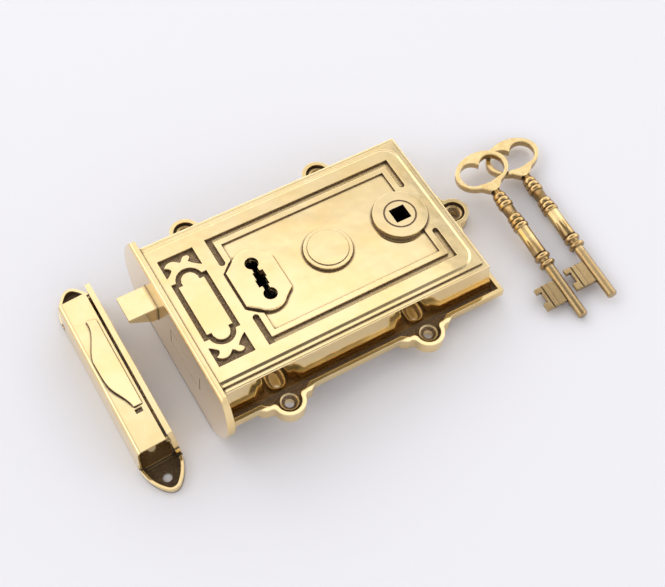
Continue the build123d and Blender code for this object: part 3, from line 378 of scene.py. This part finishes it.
def brass(name, gold=GOLD, warm=GOLD_WARM, dark=None, pale=None, hole=None, dirt_and_shade=None,
          speckle=PATINA_AND_SHADE_LIGHT, rough=BRASS_ROUGH):
    """Cast brass polished on what stands proud, with brown patina where the wheel can't reach,
    and painted shade in its corners, by how enclosed they are.

    dark, pale, hole and dirt_and_shade are functions that make the masks of a piece.
    """
    s = Shader(name)
    cloud = s.noise(*CLOUD)
    fine = s.noise(*FINE)
    speck = s.rise(s.noise(*SPECK), *SPECK_SPAN)
    # Patina and painted shade in corners, by how enclosed each point is
    mask = s.rise(s.hidden(CORNER_REACH), *CORNER_SPAN)
    if dirt_and_shade:
        mask = s.times(mask, dirt_and_shade(s))
    if dark:
        mask = s.either(mask, dark(s))
    mask = s.math("MINIMUM", s.times(mask, s.blend(fine, *RAGGED)), 1.0)
    metal = s.mix(s.rise(cloud, *CLOUD_SPAN), gold, warm)
    # Painted pale reflection where the pale mask marks it
    if pale:
        metal = s.mix(pale(s), metal, GOLD_PALE)
    colour = s.mix(mask, metal, s.mix(speck, PATINA_AND_SHADE_DARK, speckle))
    # Painted shade: the walls inside a hole near black
    if hole:
        inside = hole(s)
        colour = s.mix(inside, colour, HOLE_SHADE)
        mask = s.either(mask, inside)
    s.set("Base Color", colour)
    s.set("Metallic", s.blend(mask, 1.0, PATINA_METAL))
    polish = s.blend(s.rise(fine, *POLISH_SPAN), *rough)
    s.set("Roughness", s.blend(mask, polish, PATINA_ROUGH))
    pits = s.times(speck, mask, PIT_RELIEF)
    swell = s.times(s.noise(*SWELL), SWELL_RELIEF)
    hair = s.times(fine, HAIR_RELIEF)
    s.relief(s.math("ADD", s.math("ADD", pits, swell), hair), CAST_EDGE)
    return s.material


def case_patina_and_reflection(s):
    """Channel floor, feet of the walls with a painted dark reflection of the channel, grooves and
    recesses of the front case.
    """
    level = s.above(s.up, LEVEL)
    floor = s.times(level, s.below(s.z, CHANNEL_TOP))
    boss = s.times(level, s.below(s.z, BOSS_TOP), BOSS_PATINA)
    across = s.size(s.y)
    inside = s.times(s.below(across, RIM_INNER_HALF, WIDE_BLUR), s.below(s.x, RIM_INNER_END, WIDE_BLUR))
    # Patina and a painted dark reflection of the channel at the feet of the walls
    foot = s.times(s.fall(s.z, *WALL_FOOT), inside, s.above(s.z, FLANGE_BACK), FOOT_PATINA_AND_REFLECTION)
    low, high = GROOVE_FLOORS
    sunk = s.times(s.above(s.z, low), s.below(s.z, high))
    panel = s.times(s.below(across, PANEL_HALF), s.below(s.x, PANEL_END))
    share = s.blend(s.below(s.x, CARTOUCHE_END, WIDE_BLUR), GROOVE_PATINA, CARTOUCHE_PATINA)
    return s.either(floor, boss, foot, s.times(panel, sunk, share), hub_gap(s))


def hub_gap(s):
    """Dark ring on both sides of the gap between the follower's hub and the case."""
    radius = s.math("SQRT", s.math("ADD", s.times(s.x, s.x), s.times(s.y, s.y)))
    off = s.size(s.math("SUBTRACT", radius, HUB_RADIUS))
    return s.times(s.below(off, GAP_REACH, WIDE_BLUR), s.above(s.z, HUB_TOP - GAP_DEPTH))


def spindle_square(s):
    """Walls of the square hole in the follower, painted near black as the shade inside the hole."""
    return s.times(*[s.below(s.size(side), SQUARE_HALF) for side in (s.x, s.y)])


def forend_face(s):
    """Face of the forend, duller than its polished rims, with a pale reflection of the table painted on
    it.
    """
    return s.times(s.fall(s.z, *FOREND_RIM), s.fall(s.side, *FOREND_FACING), FOREND_REFLECTION_SHARE)


def over_table(s):
    """Height over the table's line through the frame's origin, in millimetres."""
    return s.math("ADD", s.z, s.times(s.x, -TABLE_SLOPE))


def latch_dirt_and_shade(s):
    """The latch bolt is wiped clean by its use, so little patina stays on it, and its painted corner
    shade is faint too.
    """
    return FAINT_CORNER_SHARE


def keep_dirt_and_shade(s):
    """Faint patina and painted shade in the slot beside the keep's cover, the usual share elsewhere."""
    near, far = KEEP_ENDS
    deep = s.below(over_table(s), KEEP_COVER - SLOT_INSET, SLOT_BLUR)
    past_near = s.above(s.y, near + SLOT_INSET, SLOT_BLUR)
    before_far = s.below(s.y, far - SLOT_INSET - SLOT_BLUR, SLOT_BLUR)
    return s.blend(s.times(deep, past_near, before_far), 1.0, FAINT_CORNER_SHARE)


def keep_patina_and_shade(s):
    """Patina on the floors of the keep's lugs, and painted shade on the end walls of its box under the
    cover.
    """
    near, far = KEEP_ENDS
    height = over_table(s)
    near_lug = s.below(s.y, near - END_OUT, END_BLUR)
    far_lug = s.above(s.y, far + END_OUT - END_BLUR, END_BLUR)
    on_lug = s.either(near_lug, far_lug)
    floor = s.times(s.above(s.up, LEVEL), s.below(height, KEEP_FLOOR, FLOOR_BLUR), on_lug)
    # Painted shade on the upright end walls under the cover
    upright = s.fall(s.size(s.up), *UPRIGHT)
    under = s.times(s.above(height, KEEP_FLOOR, FLOOR_BLUR), s.below(height, KEEP_COVER, COVER_BLUR))
    past_near = s.above(s.y, near - END_OUT - WIDE_BLUR, WIDE_BLUR)
    before_far = s.below(s.y, far + END_OUT, WIDE_BLUR)
    return s.either(floor, s.times(on_lug, past_near, before_far, upright, under))


def key_brass(name, gold, light, edge):
    """Cast key: handled brass with a satin shine, with painted shade in its hollows and on its upright
    sides, and browner at its bit.
    """
    s = Shader(name)
    cloud = s.noise(*KEY_CLOUD)
    fine = s.noise(*KEY_FINE)
    # Painted shade in the key's hollows, by how enclosed they are
    hollow_shade = s.rise(s.hidden(HOLLOW_SHADE_REACH), *HOLLOW_SHADE_SPAN)
    stain = s.times(s.rise(fine, *STAIN_SPAN), STAIN_SHARE)
    mask = s.math("MINIMUM", s.math("ADD", hollow_shade, stain), 1.0)
    metal = s.mix(s.rise(cloud, *KEY_CLOUD_SPAN), gold, light)
    worn = s.fall(s.y, *WORN_END)
    # Painted shade: upright sides browner than the tops
    sides = s.times(s.fall(s.size(s.up), *SHADED_SIDE_SPAN), SHADED_SIDE_SHARE)
    brown_and_shade = s.either(sides, s.times(worn, s.blend(fine, *WORN_SHARE)))
    s.set("Base Color", s.mix(mask, s.mix(brown_and_shade, metal, KEY_BROWN), KEY_DARK))
    s.set("Metallic", 1.0)
    s.set("Roughness", s.blend(mask, s.blend(fine, *KEY_ROUGH), KEY_PATINA_ROUGH))
    swell = s.times(cloud, KEY_SWELL_RELIEF)
    grain = s.times(fine, s.blend(worn, *KEY_GRAIN_RELIEF))
    s.relief(s.math("ADD", swell, grain), edge)
    return s.material


def steel(name):
    """Plain steel sheet and pins with a drawn grain."""
    s = Shader(name)
    grain = s.noise(*DRAWN, stretch=DRAWN_STRETCH)
    s.set("Base Color", s.mix(grain, STEEL_LIGHT, STEEL_DARK))
    s.set("Metallic", 1.0)
    s.set("Roughness", s.blend(grain, *STEEL_ROUGH))
    s.relief(s.times(grain, DRAWN_RELIEF), FINE_EDGE)
    return s.material


def table_top(name):
    """Pale matt board."""
    s = Shader(name)
    s.set("Base Color", TABLE_COLOUR)
    s.set("Roughness", TABLE_ROUGH)
    s.set("Specular IOR Level", TABLE_GLOSS)
    return s.material


def table_axes():
    """Directions along and across the table and up from it, in the lock's frame."""
    along = Vector((1, 0, TABLE_SLOPE)).normalized()
    across = Vector((0, 1, 0))
    return along, across, along.cross(across)


def lug_end():
    """Where the end lug of the case stands on the table."""
    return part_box("front_case")[1].x


def add_object(name, data):
    """New object of the scene."""
    thing = bpy.data.objects.new(name, data)
    bpy.context.scene.collection.objects.link(thing)
    return thing


def bead(middle, half, valley, crest):
    """Points of a half-round bead along a turned stem, as places and radii."""
    angles = [math.pi * i / (BEAD_POINTS - 1) for i in range(BEAD_POINTS)]
    return [(middle - half * math.cos(a), valley + (crest - valley) * math.sin(a)) for a in angles]


def stem_profile():
    """Outline of the beaded part of a key's stem, from below the collars to the neck."""
    line = [(COLLARS[0][0] - COLLAR_LEAD, STEM_SHANK - SHANK_SINK)]
    for middle, half in COLLARS:
        line += bead(middle, half, STEM_SHANK, STEM_BEAD)
    line.append((line[-1][0] + BARREL_STEP, STEM_BARREL))
    for group, first in enumerate(BEAD_GROUPS):
        for i in range(BEAD_COUNT):
            crest = STEM_BEAD - (i + group) * BEAD_TAPER
            valley = min(STEM_VALLEY, crest - BEAD_RISE)
            line += bead(first + i * BEAD_PITCH, BEAD_PITCH / 2, valley, crest)
        if group == 0:
            line.append((line[-1][0] + VASE_GAP, STEM_VASE[0]))
            line.append((BEAD_GROUPS[1] - BEAD_PITCH / 2 - VASE_GAP, STEM_VASE[1]))
    return line + [NECK, (NECK[0], STEM_SHANK - NECK_SINK)]


def key_frame(name):
    """Frame of one key: its tip at the origin and its stem along Y."""
    place, heading, lean = KEY_PLACES[name]
    board = Matrix(table_axes()).transposed().to_4x4()
    origin = RIM_END * MM
    board.translation = Vector((origin, 0, TABLE_SLOPE * (origin - lug_end())))
    turn = Matrix.Rotation(math.radians(heading), 4, "Z") @ Matrix.Rotation(math.radians(lean), 4, "X")
    return board @ Matrix.Translation(Vector(place) * MM) @ turn


def key_stem(name, material):
    """Smooth turned stem over the beads of one key."""
    place = key_frame(name)
    turns = [2 * math.pi * i / STEM_SIDES for i in range(STEM_SIDES)]
    build = bmesh.new()
    rings = []
    for at, radius in stem_profile():
        points = [Vector((radius * math.cos(a), at, radius * math.sin(a))) * MM for a in turns]
        rings.append([build.verts.new(place @ point) for point in points])
    for low, high in zip(rings, rings[1:]):
        for i in range(STEM_SIDES):
            j = (i + 1) % STEM_SIDES
            build.faces.new((low[i], high[i], high[j], low[j])).smooth = True
    for ring in (list(reversed(rings[0])), rings[-1]):
        build.faces.new(ring)
    bmesh.ops.recalc_face_normals(build, faces=build.faces)
    mesh = bpy.data.meshes.new(name + "_stem")
    build.to_mesh(mesh)
    build.free()
    stem = add_object(name + "_stem", mesh)
    stem.data.materials.append(material)
    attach(stem, name)


def dress():
    """Gives each CAD node its material, and each key its smooth stem."""
    polished = brass("plain_brass")
    duller_with_pale_reflection = brass("forend_brass", pale=forend_face, rough=FACE_ROUGH)
    keep = brass("keep_brass", dark=keep_patina_and_shade, dirt_and_shade=keep_dirt_and_shade, speckle=PATINA_AND_SHADE_BROWN)
    works = brass("work_brass", WORKS_GOLD, WORKS_WARM, rough=WORKS_ROUGH)
    keys = key_brass("key_brass", KEY_GOLD, KEY_LIGHT, BOW_EDGE)
    finish = {
        brass("case_brass", dark=case_patina_and_reflection): ["front_case"],
        brass("follower_brass", dark=hub_gap, hole=spindle_square): ["follower"],
        brass("latch_brass", dirt_and_shade=latch_dirt_and_shade): ["latch_bolt"],
        polished: ["keyhole_escutcheon", "roundel"],
        duller_with_pale_reflection: ["forend", "deadbolt"],
        keep: ["keep_body", "keep_edge_plate", "keep_leaf"],
        works: ["lever_1", "lever_2", "bolt_stump"],
        keys: list(KEY_PLACES),
    }
    chosen = {node: material for material, names in finish.items() for node in names}
    grey = steel("steel")
    for name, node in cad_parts.items():
        node.data.materials.clear()
        node.data.materials.append(chosen.get(name, grey))
    # The stems take a darker copy of the key's brass as painted shade
    shaded_stems = key_brass("shaded_stem_brass", STEM_SHADED_GOLD, STEM_SHADED_LIGHT, FINE_EDGE)
    for name in KEY_PLACES:
        key_stem(name, shaded_stems)


def table():
    """Tilted board under the whole set."""
    along, across, _ = table_axes()
    half = TABLE_SIZE / 2
    centre = Vector((lug_end(), 0, -TABLE_GAP))
    sides = ((-half, -half), (half, -half), (half, half), (-half, half))
    corners = [tuple(centre + along * u + across * v) for u, v in sides]
    mesh = bpy.data.meshes.new("table")
    mesh.from_pydata(corners, [], [(0, 1, 2, 3)])
    board = add_object("table", mesh)
    board.data.materials.append(table_top("table_top"))


def window():
    """Broad soft lamp turned to the set."""
    data = bpy.data.lights.new("window", "AREA")
    data.size = WINDOW_SIZE
    data.energy = WINDOW_WATTS
    light = add_object("window", data)
    light.location = WINDOW_PLACE
    light.rotation_euler = (WINDOW_PLACE - WINDOW_AIM).to_track_quat("Z", "Y").to_euler()


def room():
    """Room with a bright ceiling and a bright belt at half height, dim towards the camera."""
    world = bpy.data.worlds.new("studio")
    world.use_nodes = True
    tree = world.node_tree
    back = tree.nodes["Background"]

    def node(kind, **settings):
        made = tree.nodes.new(kind)
        for name, value in settings.items():
            setattr(made, name, value)
        return made

    def ramp(value, limits, results):
        made = node("ShaderNodeMapRange", interpolation_type="SMOOTHSTEP")
        tree.links.new(value, made.inputs["Value"])
        for name, number in zip(("From Min", "From Max", "To Min", "To Max"), limits + results):
            made.inputs[name].default_value = number
        return made.outputs[0]

    def join(operation, a, b):
        made = node("ShaderNodeMath", operation=operation)
        tree.links.new(a, made.inputs[0])
        tree.links.new(b, made.inputs[1])
        return made.outputs[0]

    direction = node("ShaderNodeTexCoord").outputs["Generated"]
    split = node("ShaderNodeSeparateXYZ")
    tree.links.new(direction, split.inputs[0])
    height = split.outputs["Z"]
    towards = node("ShaderNodeVectorMath", operation="DOT_PRODUCT")
    tree.links.new(direction, towards.inputs[0])
    towards.inputs[1].default_value = CAMERA_PLACE.normalized()
    shade = ramp(towards.outputs["Value"], SHADE_SPREAD, SHADE_LEVELS)
    ceiling = join("MULTIPLY", ramp(height, CEILING_RISE, CEILING_LEVELS), shade)
    belt = join("MULTIPLY", ramp(height, BELT_RISE, BELT_LEVELS), ramp(height, BELT_FALL, (1.0, 0.0)))
    tree.links.new(join("ADD", ceiling, belt), back.inputs["Strength"])
    back.inputs["Color"].default_value = (*ROOM_COLOUR, 1)
    bpy.context.scene.world = world


def camera():
    """Camera of the photograph."""
    data = bpy.data.cameras.new("camera")
    data.lens = CAMERA_LENS
    data.sensor_width = CAMERA_SENSOR
    data.clip_start = CAMERA_NEAR
    eye = add_object("camera", data)
    eye.matrix_world = Matrix.Translation(CAMERA_PLACE) @ CAMERA_TURN.to_matrix().to_4x4()
    bpy.context.scene.camera = eye


dress()
table()
room()
window()
camera()
bpy.context.scene.view_settings.view_transform = "Standard"
